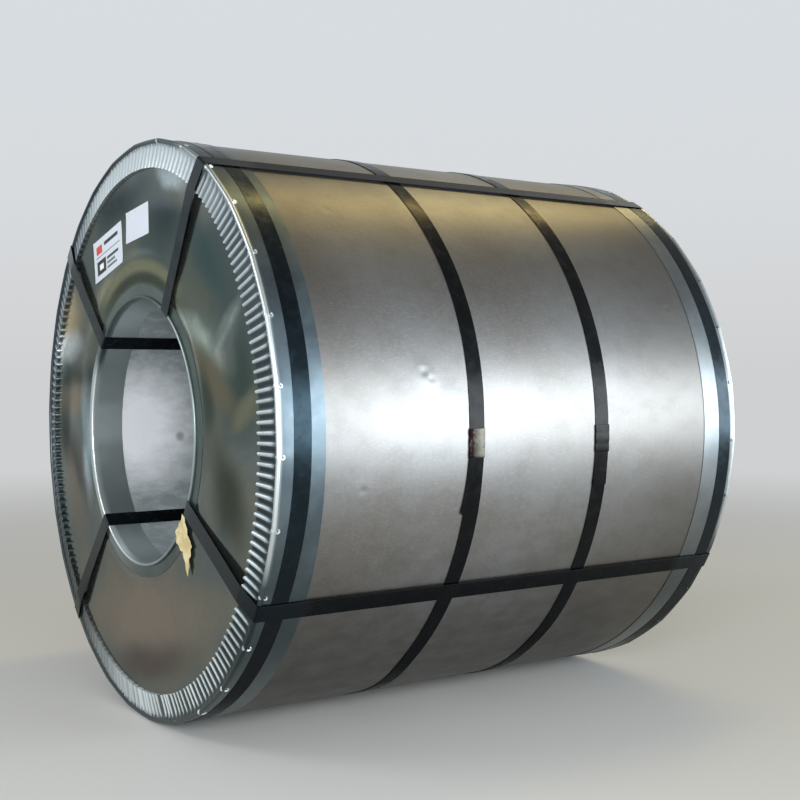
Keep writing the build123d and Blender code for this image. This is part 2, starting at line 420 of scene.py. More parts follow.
def makeRingFinish(name, dark, light, metallic=1.0):
    # Galvanised edge-ring sheet: smooth blue-grey, bright where the rolls have polished its bead and
    # crests, and dull with oil and grime between the flutes. Painted shade darkens it towards the floor, and
    # the marked tone also paints highlights and shade round the ring.
    material, tree, shader, places = startMaterial(name)
    clouds = patternOf(tree, places, 70 * mm, detail=4, offset=(1.3, 0.1, 0.2))
    grain = patternOf(tree, places, 14 * mm)
    wearAndPaintedLight = addNode(tree, "ShaderNodeAttribute", attribute_name="wearAndPaintedLight").outputs["Fac"]
    height = addNode(tree, "ShaderNodeSeparateXYZ", {"Vector": places}).outputs["Z"]
    base = layColour(tree, linear(dark), light, (clouds, 0.35, 0.68))
    base = layColour(tree, base, "#6f7a7e", (grain, 0.4, 0.8, 0, 0.12))
    # painted shade: darker towards the floor
    base = layColour(tree, base, "#424a49", (height, 0.48, 0.12, 0, 0.85))
    # dark where the marked tone is low: grime between the flutes, and painted shade
    base = layColour(tree, base, "#2b3635", (wearAndPaintedLight, 0.5, 0.0, 0, 0.9), curve="LINEAR")
    # bright where the marked tone is high: polish on the bead and crests, and painted highlights
    base = layColour(tree, base, "#e6f0f2", (wearAndPaintedLight, 0.5, 1.0, 0, 1), curve="LINEAR")
    bare = shareOf(tree, (height, 0.07, 0.24, 0.35 * metallic, metallic))
    tree.links.new(bare, shader.inputs["Metallic"])
    gloss = shareOf(tree, (grain, 0.3, 0.72, 0.34, 0.39))
    return finishMaterial(material, base, gloss, grain, 0.02 * mm, 0.15)


linerMarks = {  # places in the bore: a small dark smudge, and the middle of a painted pool of light
    "smudge": (-0.2519, -0.3306, axisHeight - 0.0262),
    "litPatch": (-0.2530, -0.4300, axisHeight - 0.0050),
}


def makeLinerFinish():
    # Galvanised liner sheet gone dull: pale lilac-grey zinc bloom, finely mottled, with a painted pool of
    # light near the labelled end.
    material, tree, shader, places = startMaterial("galvanisedLinerSheet", Metallic=0.15)
    clouds = patternOf(tree, places, 26 * mm, detail=6, stretch=(1, 1.8, 0.8), rough=0.68)
    blotches = patternOf(tree, places, 11 * mm, detail=4, offset=(5, 1, 2), rough=0.6)
    off = {}
    for mark, spot in linerMarks.items():
        node = addNode(tree, "ShaderNodeVectorMath", {0: places, 1: spot}, operation="DISTANCE")
        off[mark] = node.outputs["Value"]
    base = layColour(tree, linear("#848d90"), "#939ca0", (clouds, 0.32, 0.70))
    litPatchEdge = (clouds, 0.3, 0.7, -0.1, 0.1)
    # painted light: a pale pool near the labelled end, its edge broken up by the clouds
    base = layColour(tree, base, "#f5f9ff", (off["litPatch"], 0.19, 0.02, 0, 1.1), litPatchEdge)
    base = layColour(tree, base, "#9aa0a6", (blotches, 0.6, 0.85, 0, 0.35))
    base = layColour(tree, base, "#5f6273", (off["smudge"], 14 * mm, 4 * mm, 0, 0.6))
    gloss = shareOf(tree, (clouds, 0.3, 0.7, 0.5, 0.36))
    return finishMaterial(material, base, gloss, blotches, 0.08 * mm, 0.4)


def makeBandFinish():
    # Painted steel band: thin glossy black paint, with dusty scuffs and a little bare steel rubbed through.
    # It is glossiest and bluest where it lies on the smooth edge rings, and its reflection is turned down
    # towards the floor and at the very top, as painted shade.
    material, tree, shader, places = startMaterial("paintedSteelBand", **{"Specular IOR Level": 0.2})
    dust = patternOf(tree, places, 26 * mm, detail=5, rough=0.65)
    rubs = patternOf(tree, places, 6 * mm, detail=6, rough=0.7, offset=(2, 7, 1))
    parts = addNode(tree, "ShaderNodeSeparateXYZ", {"Vector": places})
    height = parts.outputs["Z"]
    onRing = shareOf(tree, (distanceOff(tree, parts.outputs["Y"], 0), 0.40, 0.45))
    # painted shade: less reflection towards the floor and at the very top
    lit = shareOf(tree, (height, 0.10, 0.45, 0.05, 1.0), (height, 1.02, 1.09, 1.0, 0.4), by="MULTIPLY")
    sheen = shareOf(tree, (onRing, 0, 1, 0.15, 0.42), lit, by="MULTIPLY")
    tree.links.new(sheen, shader.inputs["Specular IOR Level"])
    tree.links.new(layColour(tree, linear("#ffffff"), "#a9d4ee", onRing), shader.inputs["Specular Tint"])
    bare = shareOf(tree, (rubs, 0.73, 0.78))
    tree.links.new(bare, shader.inputs["Metallic"])
    base = layColour(tree, linear("#040608"), "#0d1214", (dust, 0.4, 0.75, 0, 0.6))
    base = layColour(tree, base, "#5b4a42", bare)
    gloss = shareOf(tree, (dust, 0.35, 0.75, 0.18, 0.34))
    return finishMaterial(material, base, gloss, rubs, 0.04 * mm, 0.2)


def makeSealFinish():
    # Zinc-plated seal: dull grey-beige steel, scratched by the crimping jaws, with a touch of rust, and dark
    # red-brown along a marked edge.
    material, tree, shader, places = startMaterial("zincPlatedSeal", Metallic=1.0)
    grain = patternOf(tree, places, 5 * mm, detail=5, rough=0.65)
    scratches = patternOf(tree, places, 1.0 * mm, stretch=(12, 1, 1), rough=0.6)
    rust = patternOf(tree, places, 8 * mm, detail=5, rough=0.7, offset=(4, 4, 4))
    markedEdge = addNode(tree, "ShaderNodeAttribute", attribute_name="wearAndPaintedLight").outputs["Fac"]
    base = layColour(tree, linear("#5f5e58"), "#737269", (grain, 0.35, 0.7))
    base = layColour(tree, base, "#6b3f36", (rust, 0.56, 0.72, 0, 0.75))
    base = layColour(tree, base, "#1a0c0f", markedEdge, (rust, 0.3, 0.5, 0.5, 1.0), by="MULTIPLY")
    gloss = shareOf(tree, (scratches, 0.3, 0.7, 0.35, 0.5))
    return finishMaterial(material, base, gloss, scratches, 0.05 * mm, 0.5)


def makeStripFinish():
    # Cold-rolled strip: bright and lightly oiled. On the ends its turns show as fine rings, one a strip
    # thickness, drawn 3 mm apart because the real 1 mm is too fine to show.
    material, tree, shader, places = startMaterial("coldRolledStrip", Metallic=1.0)
    radius = aboutAxis(tree, places)[0]
    count = addNode(tree, "ShaderNodeMath", {0: radius, 1: 3 * mm}, operation="DIVIDE").outputs[0]
    turns = addNode(tree, "ShaderNodeMath", {0: count}, operation="FRACT").outputs[0]
    oil = patternOf(tree, places, 80 * mm, detail=4)
    base = layColour(tree, linear("#b9babb"), "#d2d3d3", (oil, 0.35, 0.7))
    base = layColour(tree, base, "#4c4d4e", (turns, 0.0, 0.25, 0.6, 0))
    # the innermost turn, which shows in the liner's seam, is made darker and duller
    innermostTurn = shareOf(tree, (radius, coil["boreRadius"] + 3 * mm, coil["boreRadius"] + 1 * mm))
    base = layColour(tree, base, "#3d4143", innermostTurn)
    dull = addNode(tree, "ShaderNodeMath", {0: innermostTurn, 1: 0.75}, operation="MULTIPLY").outputs[0]
    gloss = shareOf(tree, (oil, 0.3, 0.7, 0.22, 0.34), dull, by="MAXIMUM")
    return finishMaterial(material, base, gloss, turns, 0.3 * mm, 0.6)


def makePaperFinish(name, prints=()):
    # Coated label paper: bright white and smooth, a little soiled and creased by handling. Each print is a
    # plain block: its centre and half sizes as shares of the label, and its colour.
    material, tree, shader, places = startMaterial(name, Roughness=0.45)
    soil = patternOf(tree, places, 22 * mm, detail=5, rough=0.65)
    creases = patternOf(tree, places, 14 * mm)
    base = layColour(tree, linear("#d2dae6"), "#bfc4c8", (soil, 0.5, 0.85, 0, 0.5))
    sheet = addNode(tree, "ShaderNodeTexCoord").outputs["UV"]
    parts = addNode(tree, "ShaderNodeSeparateXYZ", {"Vector": sheet})
    for across, up, halfWidth, halfHeight, colour in prints:
        inks = []
        for axis, centre, half in (("X", across, halfWidth), ("Y", up, halfHeight)):
            off = distanceOff(tree, parts.outputs[axis], centre)
            inks.append(addNode(tree, "ShaderNodeMath", {0: off, 1: half}, operation="LESS_THAN").outputs[0])
        base = layColour(tree, base, colour, *inks, by="MULTIPLY")
    return finishMaterial(material, base, None, creases, 0.3 * mm, 0.25)


def makeCardFinish():
    # Torn kraft card: tan and fibrous, with paler fibres.
    material, tree, shader, places = startMaterial("tornKraftCard", Roughness=0.85)
    fibres = patternOf(tree, places, 1.2 * mm, detail=4, stretch=(1, 1, 7), rough=0.65)
    patches = patternOf(tree, places, 20 * mm, detail=4)
    base = layColour(tree, linear("#c3b07c"), "#dccfa6", (patches, 0.35, 0.7))
    base = layColour(tree, base, "#ecdfbf", (fibres, 0.55, 0.8, 0, 0.6))
    return finishMaterial(material, base, None, fibres, 0.3 * mm, 0.6)


wrapFinish = makeWrapFinish()
coverFinish = makeCoverFinish()
edgeRingFinishes = {
    "front": makeRingFinish("galvanisedEdgeRing", "#5a676f", "#6a777f"),
    "back": makeRingFinish("galvanisedBackRing", "#7e8589", "#8b9194"),
}
boreRingFinish = makeRingFinish("galvanisedBoreRing", "#697875", "#798784", 0.9)
linerFinish = makeLinerFinish()
bandFinish = makeBandFinish()
sealFinish = makeSealFinish()
stripFinish = makeStripFinish()
cardFinish = makeCardFinish()
print("materials made")

nodes["coil"].data.materials.clear()
nodes["coil"].data.materials.append(stripFinish)


# The wrap: one sheet round the coil, its end lapped over its start, with small dents

wrap = {
    "radius": 548.4 * mm,  # of the middle of the sheet
    "columns": 360,
    "rows": 60,
    "wave": 0.35 * mm,
    "waveSize": 0.36,  # metres
    "lapEdge": 204.7,  # degrees
    "lapRoot": 212.0,
    "dents": (  # degrees, y, reach, depth in mm: shallow, because the strip lies right under the sheet
        (11.9, -0.235, 0.017, 0.55),
        (10.7, -0.222, 0.013, 0.40),
        (46.0, -0.332, 0.018, 0.4),
        (-8.5, -0.360, 0.014, 0.35),
        (26.0, 0.384, 0.014, 0.35),
        (-44.0, 0.463, 0.020, 0.5),
        (158.0, 0.12, 0.030, 0.55),
        (205.0, -0.30, 0.024, 0.5),
    ),
}


def makeWrap():
    half = coil["halfWidth"]
    rows = wrap["rows"]
    profile = [(-half + 2 * half * i / rows, wrap["radius"]) for i in range(rows + 1)]
    piece = turnShell(profile, wrap["columns"])
    closeUp(piece)
    dents = []
    for angle, y, reach, depth in wrap["dents"]:
        outwards = Vector((cos(radians(angle)), 0, sin(radians(angle)))) * depth * mm
        dents.append((onCoil(y, wrap["radius"], radians(angle)), outwards, reach))

    def nearDent(place):
        return any((place - spot).length < 2 * reach + 9 * mm for spot, outwards, reach in dents)

    selectVertices(piece, nearDent)
    bpy.ops.mesh.subdivide(number_cuts=3)
    bpy.ops.object.mode_set(mode="OBJECT")
    addWaves(piece, "wrapWaves", wrap["waveSize"], wrap["wave"], 0.3)
    for spot, outwards, reach in dents:
        # a hollow with a low rim round it
        def dented(place):
            off = ((place - spot).length / reach) ** 2
            return place + outwards * (1.7 * exp(-off * 1.0) - 2.4 * exp(-off * 4.0)) if off < 6 else place

        moveVertices(piece, dented)
    lap = turnShell(profile[::rows // 10], wrap["columns"] * 2)
    keepArc(lap, wrap["lapEdge"], wrap["lapRoot"])

    def lifted(place):
        radius, angle = polar(place)
        share = (wrap["lapRoot"] - degrees(angle) % 360) / (wrap["lapRoot"] - wrap["lapEdge"])
        rise = coil["sheet"] * min(1, share * 4)
        return onCoil(place.y, radius + rise, angle)

    moveVertices(lap, lifted)
    closeUp(lap)
    for part in (piece, lap):
        thicken(part, coil["sheet"])
    joinInto(piece, [lap])
    smooth(piece, 40)
    return dress(piece, "wrapSheet", "outer_wrap", "wrap_sheet", wrapFinish)


makeWrap()
print("wrap made")


# The end covers: thin flat rings of glossy sheet, gently buckled

cover = {
    "innerRadius": 253.4 * mm,
    "outerRadius": 547.8 * mm,
    "rows": 44,
    "columns": 360,
    "lipEdge": 276 * mm,
    "stillBand": 24 * mm,  # next to the lip and the rim the sheet lies flat
    "buckles": {  # x, z from the axis, reach along and across, turn in degrees, height outwards in mm
        "front": (
            (0.28, 0.165, 0.110, 0.032, -28, 3.2),
            (0.371, 0.189, 0.070, 0.020, 48, 1.6),
            (0.42, 0.13, 0.060, 0.050, 70, -2.0),
            (0.26, -0.02, 0.060, 0.040, 80, -1.4),
            (0.40, -0.16, 0.110, 0.060, -70, -1.8),
            (0.15, 0.41, 0.080, 0.065, 10, 3.4),
            (-0.10, 0.42, 0.120, 0.060, 20, -1.8),
            (-0.440, 0.165, 0.060, 0.022, 12, 3.0),
            (-0.44, 0.28, 0.060, 0.040, 70, -1.8),
            (-0.41, 0.02, 0.080, 0.040, 80, -1.8),
            (-0.20, -0.38, 0.120, 0.090, 20, 1.0),
            (0.16, -0.38, 0.100, 0.080, 0, -1.0),
            (0.33, -0.30, 0.080, 0.080, 0, 1.2),
        ),
        "back": (
            (0.31, 0.12, 0.100, 0.060, -40, 1.4),
            (-0.31, 0.22, 0.080, 0.080, 0, -1.2),
            (-0.36, -0.12, 0.110, 0.060, 70, 1.2),
            (0.05, 0.40, 0.090, 0.070, 10, -1.1),
            (0.10, -0.40, 0.110, 0.070, 0, 1.0),
            (0.37, -0.20, 0.080, 0.080, 0, -1.0),
        ),
    },
    "arch": {"radius": 0.325, "reach": 0.020, "angle": 95, "spread": 45, "height": 2.2},
    "lift": 2.4,  # the sheet stands off the coil by this much at most, so that no hollow reaches it
}


def buckleAt(end, x, z):
    # height of the cover above its plain cone, in metres
    radius, angle = hypot(x, z), degrees(atan2(z, x))
    rise = 0.22 * sin(radius / 0.036 + 2.2 * sin(radians(angle)))
    rise += 0.3 * sin(5 * radians(angle) + radius * 14)
    for cx, cz, along, across, turn, height in cover["buckles"][end]:
        u = (x - cx) * cos(radians(turn)) + (z - cz) * sin(radians(turn))
        v = (z - cz) * cos(radians(turn)) - (x - cx) * sin(radians(turn))
        rise += height * exp(-(u / along) ** 2 - (v / across) ** 2)
    arch = cover["arch"]
    out = (radius - arch["radius"]) / arch["reach"]
    off = ((angle - arch["angle"] + 180) % 360 - 180) / arch["spread"]
    rise += arch["height"] * exp(-out ** 2 - off ** 2)
    inner = eased((radius - cover["lipEdge"]) / cover["stillBand"])
    outer = eased((cover["outerRadius"] - radius) / cover["stillBand"])
    return max(0, rise + cover["lift"]) * mm * inner * outer


def makeCover(side, end):
    rows, inner, outer = cover["rows"], cover["innerRadius"], cover["outerRadius"]
    radii = [inner + (outer - inner) * i / rows for i in range(rows + 1)]
    middle = coil["halfWidth"] + coil["sheet"] / 2
    profile = [(side * middle - slipAt(radius), radius) for radius in radii]
    piece = turnShell(profile, cover["columns"])

    def buckled(place):
        rise = buckleAt(end, place.x, place.z - axisHeight)
        return place + Vector((0, side * rise, 0))

    moveVertices(piece, buckled)
    closeUp(piece)
    thicken(piece, coil["sheet"])
    smooth(piece, 40)
    return dress(piece, f"{end}Cover", f"end_cover_{end}", "cover_sheet", coverFinish)


for side, end in ((-1, "front"), (1, "back")):
    makeCover(side, end)
print("covers made")


# The outer edge rings: a smooth leg on the wrap, a rolled bead, and a leg crimped into flutes over the cover

outerRing = {
    "sheet": 1.0 * mm,
    "legRadius": 550.1 * mm,  # middle of the sheet
    "legEnd": 433.9 * mm,  # from the coil's middle
    "beadRadius": 3.7 * mm,
    "beadCentre": (517.9 * mm, 548.4 * mm),
    "root": (518.5 * mm, 543.2 * mm),
    "tip": (528.9 * mm, 496.3 * mm),
    "foot": 518.4 * mm,  # where the turned-in edge at the tip meets the cover
    "flutes": 192,
    "columns": 10,  # to a flute
    "ridge": (1.0, 0.86, 0.42, 0.08, 0.0, 0.0, 0.0, 0.08, 0.42, 0.86),  # the sheet's height across a flute
    "fluteDepth": 5.0 * mm,
    # round the ring, by degrees: how high the flutes are, and how far they are pushed sideways
    "height": (
        (0, 1), (30, 0.95), (52, 0.6), (75, 0.3), (105, 0.22), (135, 0.4), (165, 0.9), (205, 0.9),
        (222, 0.5), (232, 0.28), (246, 0.2), (258, 0.3), (270, 0.5), (288, 0.85),
    ),
    "bunching": ((0, 0.04), (60, 0.05), (200, 0.08), (262, 0.34), (284, 0.34), (310, 0.06)),
    # the sheet's marked tone round the ring: 0 is grimy, 0.5 plain and 1 polished; how these values rise and
    # fall round the ring is painted highlight and painted shade
    "valleys": (
        (0, 0.06), (36, 0.3), (55, 0.6), (72, 0.85), (112, 0.9), (132, 0.5), (160, 0.3), (200, 0.25),
        (228, 0.45), (246, 0.6), (258, 0.75), (272, 0.75), (282, 0.45), (292, 0.1),
    ),
    "crests": (
        (0, 0.95), (36, 0.9), (55, 0.9), (72, 1), (112, 1), (132, 0.75), (170, 0.75), (205, 0.5),
        (230, 0.55), (246, 0.68), (258, 0.85), (272, 1),
    ),
    "beads": (
        (-62, 0.05), (-32, 0.1), (-18, 0.85), (0, 1), (35, 1), (62, 0.8), (80, 0.4), (110, 0.2), (160, 0.25),
        (200, 0.3), (260, 0.05),
    ),
    "segments": 30,  # the bead is rolled in nearly straight segments
    "segmentStart": -2.4,  # degrees
    "sagitta": 1.5 * mm,
    # how bold the torn knots between the segments are, by degrees
    "nubs": {"front": ((-66, 1), (80, 1), (95, 0.6), (280, 0.6)), "back": ((0, 0.6), (180, 0.6))},
}


def ringProfile(side):
    middle, centre = outerRing["beadCentre"]
    bead, leg, legEnd = outerRing["beadRadius"], outerRing["legRadius"], outerRing["legEnd"]
    start = acos(-sqrt(bead ** 2 - (leg - centre) ** 2) / bead)
    legLength = middle - bead - 3 * mm - legEnd
    legPlaces = ((0, 0.7), (0.06, 0), (0.86, 0), (1, 0))  # share of the leg's length, and drop in mm
    points = [(legEnd + share * legLength, leg - drop * mm) for share, drop in legPlaces]
    turns = [start - i * (start + radians(78)) / 8 for i in range(9)]  # the bead is rolled on to 78 degrees
    points += [(middle + bead * cos(angle), centre + bead * sin(angle)) for angle in turns]
    (rootY, rootR), (tipY, tipR) = outerRing["root"], outerRing["tip"]
    points += [(rootY + (tipY - rootY) * i / 7, rootR + (tipR - rootR) * i / 7) for i in range(8)]
    points += [(tipY, tipR - step * mm) for step in (1.5, 3)]  # the turned-in edge, placed when it is shaped
    return [(side * y, radius) for y, radius in points]


def makeNub(side, angle, boldness, rng):
    # where two segments of the bead meet, the torn sheet is a knot on the bead and curls out on to the leg
    # as a small hook
    middle, centre = outerRing["beadCentre"]
    deselectAll()
    bpy.ops.mesh.primitive_torus_add(
        major_radius=3.3 * mm, minor_radius=1.7 * mm, major_segments=14, minor_segments=6
    )
    hook = bpy.context.object
    selectVertices(hook, lambda place: place.y < -1.5 * mm and place.x > 0)
    bpy.ops.mesh.delete(type="VERT")
    bpy.ops.mesh.select_all(action="SELECT")
    bpy.ops.mesh.fill_holes(sides=0)
    bpy.ops.object.mode_set(mode="OBJECT")
    size = rng.uniform(0.8, 1.2) * boldness
    lean = rng.uniform(-0.5, 0.5)
    lift = 0.8 * mm

    def seated(place):
        # the hook is drawn flat: x runs along the edge, y in from it, z off the leg
        along = (place.x * cos(lean) - place.y * sin(lean)) * size
        inwards = (place.x * sin(lean) + place.y * cos(lean)) * size
        y = side * (middle - 5.6 * mm - inwards)
        return onCoil(y, outerRing["legRadius"] + lift + place.z, angle + along / centre)

    moveVertices(hook, seated)
    deselectAll()
    bpy.ops.mesh.primitive_uv_sphere_add(segments=12, ring_count=8, radius=4.7 * mm * boldness)
    knot = bpy.context.object

    def onBead(place):
        y = side * (middle + 0.4 * mm) + place.y
        return onCoil(y, centre - 0.9 * mm + place.z, angle + place.x * 1.25 * size / centre)

    moveVertices(knot, onBead)
    return joinInto(hook, [knot])


def makeOuterRing(side, end, seed):
    rng = random.Random(seed)
    flutes, columns, ridge = outerRing["flutes"], outerRing["columns"], outerRing["ridge"]
    pitch = 2 * pi / flutes
    piece = turnShell(ringProfile(side), flutes * columns)
    shifts = [rng.uniform(-1, 1) * pitch for _ in range(flutes)]
    heights = [rng.uniform(0.86, 1.0) for _ in range(flutes)]
    first, gap = radians(outerRing["segmentStart"]), 2 * pi / outerRing["segments"]
    joints = [first + gap * i + radians(rng.uniform(-0.6, 0.6)) for i in range(outerRing["segments"])]
    (rootY, rootR), (tipY, tipR) = outerRing["root"], outerRing["tip"]

    def crestAt(angle):
        number = int(round(angle / pitch)) % flutes
        phase = int(round((angle % pitch) / pitch * columns)) % columns
        return ridge[phase] * heights[number] * blendAngles(outerRing["height"], angle), number

    def shaped(place):
        radius, angle = polar(place)
        if radius > rootR - 0.1 * mm:
            # the bead runs straight from joint to joint
            nearest = min(abs((angle - joint + pi) % (2 * pi) - pi) for joint in joints)
            beyond = min(1, nearest / (gap / 2))
            onBead = max(0, min(1, (abs(place.y) - outerRing["beadCentre"][0] + 14 * mm) / (9 * mm)))
            radius -= outerRing["sagitta"] * (1 - (1 - beyond) ** 2) * onBead
            return onCoil(place.y, radius, angle)
        crest, number = crestAt(angle)
        share = min(1, (rootR - radius) / (rootR - tipR))
        past = max(0, (tipR - radius) / (3 * mm))
        valley = outerRing["fluteDepth"] * (0.3 + 0.7 * share ** 0.7) * min(1, share * 6)
        y = place.y - side * valley * (1 - crest)
        y += side * (outerRing["foot"] - abs(y)) * past
        turnedIn = max(0, (share - 0.9) / 0.1)
        radius = max(radius, tipR) + 2.6 * mm * (1 - crest) * turnedIn
        bunched = shifts[number] * blendAngles(outerRing["bunching"], angle) * min(1, share * 3)
        return onCoil(y, radius, angle + bunched)

    # the tone: polish on the crests and bead, with painted highlights and painted shade by angle
    def polishAndPaintedLight(place):
        radius, angle = polar(place)
        if radius > rootR:
            onBead = max(0, min(1, (abs(place.y) - outerRing["beadCentre"][0] + 4 * mm) / (2 * mm)))
            return 0.5 + onBead * (blendAngles(outerRing["beads"], angle) - 0.5)
        crest = min(1, crestAt(angle)[0] / blendAngles(outerRing["height"], angle) * 1.15)
        ends = min(1, max(0, (rootR - 4 * mm - radius) / (4 * mm)))
        valley = blendAngles(outerRing["valleys"], angle)
        return valley + (blendAngles(outerRing["crests"], angle) - valley) * crest * ends

    markWearAndPaintedLight(piece, polishAndPaintedLight)
    moveVertices(piece, shaped)
    closeUp(piece, 0.001 * mm)
    thicken(piece, outerRing["sheet"])
    hooks = []
    for joint in joints:
        boldness = blendAngles(outerRing["nubs"][end], joint)
        hook = makeNub(side, joint, boldness, rng)
        markWearAndPaintedLight(hook, lambda place: boldness - 0.1)
        hooks.append(hook)
    joinInto(piece, hooks)
    smooth(piece, 50)
    return dress(piece, f"{end}OuterRing", f"outer_ring_{end}", "ring_sheet", edgeRingFinishes[end])


for side, end in ((-1, "front"), (1, "back")):
    makeOuterRing(side, end, 11 + side)
print("outer rings made")


# The inner edge rings and the liner

innerRing = {
    "sheet": 0.8 * mm,
    "legRadius": 252.8 * mm,
    "legEnd": 455.0 * mm,
    "beadRadius": 2.6 * mm,
    "beadCentre": (518.1 * mm, 255.4 * mm),
    "lipPlane": 516.2 * mm,
    "lipRadius": 279.4 * mm,
    "columns": 256,
    # the sheet's marked tone round the ring: 0 is grimy, 0.5 plain and 1 polished; how these values rise and
    # fall round the ring is painted highlight and painted shade, with a painted glint on the leg near 178
    # degrees
    "legs": (
        (20, 0.74), (90, 0.62), (150, 0.78), (166, 0.86), (173, 1), (184, 1), (191, 0.84), (225, 0.66),
        (290, 0.66),
    ),
    "beads": ((-60, 0.7), (0, 0.8), (55, 0.75), (80, 0.2), (140, 0.25), (160, 1), (250, 1), (275, 0.7)),
    "lips": ((-60, 0.36), (60, 0.36), (140, 0.4), (160, 0.85), (215, 0.8), (240, 0.6), (280, 0.45)),
    "beadToneReach": 9 * mm,  # how far into the bore the bead's tone, polish with painted highlight, goes
}


def makeInnerRing(side, end, seed):
    rng = random.Random(seed)
    middle, centre = innerRing["beadCentre"]
    bead, slip, legEnd = innerRing["beadRadius"], coil["boreSlip"], innerRing["legEnd"]
    shares = (0, 0.03, 0.5, 0.8, 0.87, 0.93)
    points = [(legEnd + share * (middle - legEnd), innerRing["legRadius"]) for share in shares]
    points += [(middle + bead * sin(radians(a)), centre - bead * cos(radians(a))) for a in range(0, 231, 21)]
    profile = [(side * y - slip, radius) for y, radius in points]
    start = centre + 2.0 * mm
    for share in (0, 0.1, 0.35, 0.65, 0.95, 1):
        radius = start + (innerRing["lipRadius"] - start) * share
        profile.append((side * innerRing["lipPlane"] - slipAt(radius), radius))
    piece = turnShell(profile, innerRing["columns"])
    waves = [(rng.uniform(0.2, 0.5) * mm, rng.randint(3, 17), rng.uniform(0, 2 * pi)) for _ in range(4)]

    def wavy(place):
        # only the lip's edge wanders, from 262 mm out
        radius, angle = polar(place)
        share = max(0, (radius - 262 * mm) / (17 * mm))
        edge = sum(size * sin(count * angle + phase) for size, count, phase in waves)
        return onCoil(place.y, radius + edge * share, angle)

    moveVertices(piece, wavy)
    closeUp(piece, 0.001 * mm)
    thicken(piece, innerRing["sheet"])

    # the tone: the bead's polish, with painted highlights and painted shade by angle on the bead, leg and lip
    def polishAndPaintedLight(place):
        radius, angle = polar(place)
        beadTone = blendAngles(innerRing["beads"], angle)
        if radius > centre:
            onLip = min(1, (radius - centre) / (5 * mm))
            return beadTone + (blendAngles(innerRing["lips"], angle) - beadTone) * onLip
        inwards = max(0, min(1, (middle - 2 * mm - abs(place.y + slip)) / innerRing["beadToneReach"]))
        return beadTone + (blendAngles(innerRing["legs"], angle) - beadTone) * inwards ** 2

    markWearAndPaintedLight(piece, polishAndPaintedLight)
    smooth(piece, 50)
    return dress(piece, f"{end}InnerRing", f"inner_ring_{end}", "ring_sheet", boreRingFinish)


for side, end in ((-1, "front"), (1, "back")):
    makeInnerRing(side, end, 31 + side)

liner = {
    "radius": 253.6 * mm,
    "seam": 20,  # degrees
    "seamWidth": 0.9,
    "columns": 360,
    "rows": 24,
    "wave": 0.3 * mm,
    "waveSize": 0.16,  # metres
}


def makeLiner():
    half, slip, rows = coil["halfWidth"], coil["boreSlip"], liner["rows"]
    profile = [(-half - slip + 2 * half * i / rows, liner["radius"]) for i in range(rows + 1)]
    piece = turnShell(profile, liner["columns"])
    closeUp(piece)
    addWaves(piece, "linerWaves", liner["waveSize"], liner["wave"], 0.5)
    keepArc(piece, liner["seam"] + 1, liner["seam"] + 359)

    def drawnUp(place):
        # the two edges at the seam are drawn up to each other
        radius, angle = polar(place)
        off = (degrees(angle) - liner["seam"] + 180) % 360 - 180
        if abs(off) > 1.1:
            return place
        return onCoil(place.y, radius, radians(liner["seam"] + copysign(liner["seamWidth"] / 2, off)))

    moveVertices(piece, drawnUp)
    thicken(piece, 0.7 * mm)
    smooth(piece, 40)
    return dress(piece, "linerSheet", "bore_liner", "liner_sheet", linerFinish)


makeLiner()
print("inner rings and liner made")


# The steel bands round the girth

band = {"width": 31.75 * mm, "sheet": 0.65 * mm, "edge": 0.2 * mm}
seal = {"length": 50 * mm, "width": band["width"] + 1.9 * mm, "height": 2.1 * mm, "slices": 16}
girthBands = {
    "columns": 360,
    "overRing": 550.65 * mm,  # the bands' inner radius
    "overWrap": 549.65 * mm,
    "bands": (  # y, seat, seal's angle, tail, skew of the tail, then how it wanders: degrees and mm
        (
            -476, "overRing", 112, 100, 1,
            ((80, 5), (56, 5), (20, 1.5), (-4, -0.5), (-34, -8), (-62, -11), (160, -3), (230, 2)),
        ),
        (
            -130, "overWrap", -1, 100, -7,
            ((80, 3), (50, -2), (20, 1), (-8, -3.5), (-48, -14), (-68, 2), (160, 4), (230, -3)),
        ),
        (
            159, "overWrap", -1, 66, 0,
            ((80, 5), (56, 4), (20, 1), (-28, -1.5), (-50, 2), (-66, 12), (160, -4), (230, 3)),
        ),
        (
            489, "overRing", 205, 100, -1,
            ((80, 3), (56, 5), (30, -1), (-10, 2.5), (-42, 7), (-64, 3), (160, -2), (230, 1)),
        ),
    ),
}


def bandSection(y, seat):
    # closed section of a band with eased edges, as (y, radius) pairs
    half, top, ease = band["width"] / 2, seat + band["sheet"], band["edge"]
    return [
        (y - half, seat + ease), (y - half, top - ease), (y - half + ease, top),
        (y + half - ease, top), (y + half, top - ease), (y + half, seat + ease),
        (y + half - ease, seat), (y - half + ease, seat), (y - half, seat + ease),
    ]


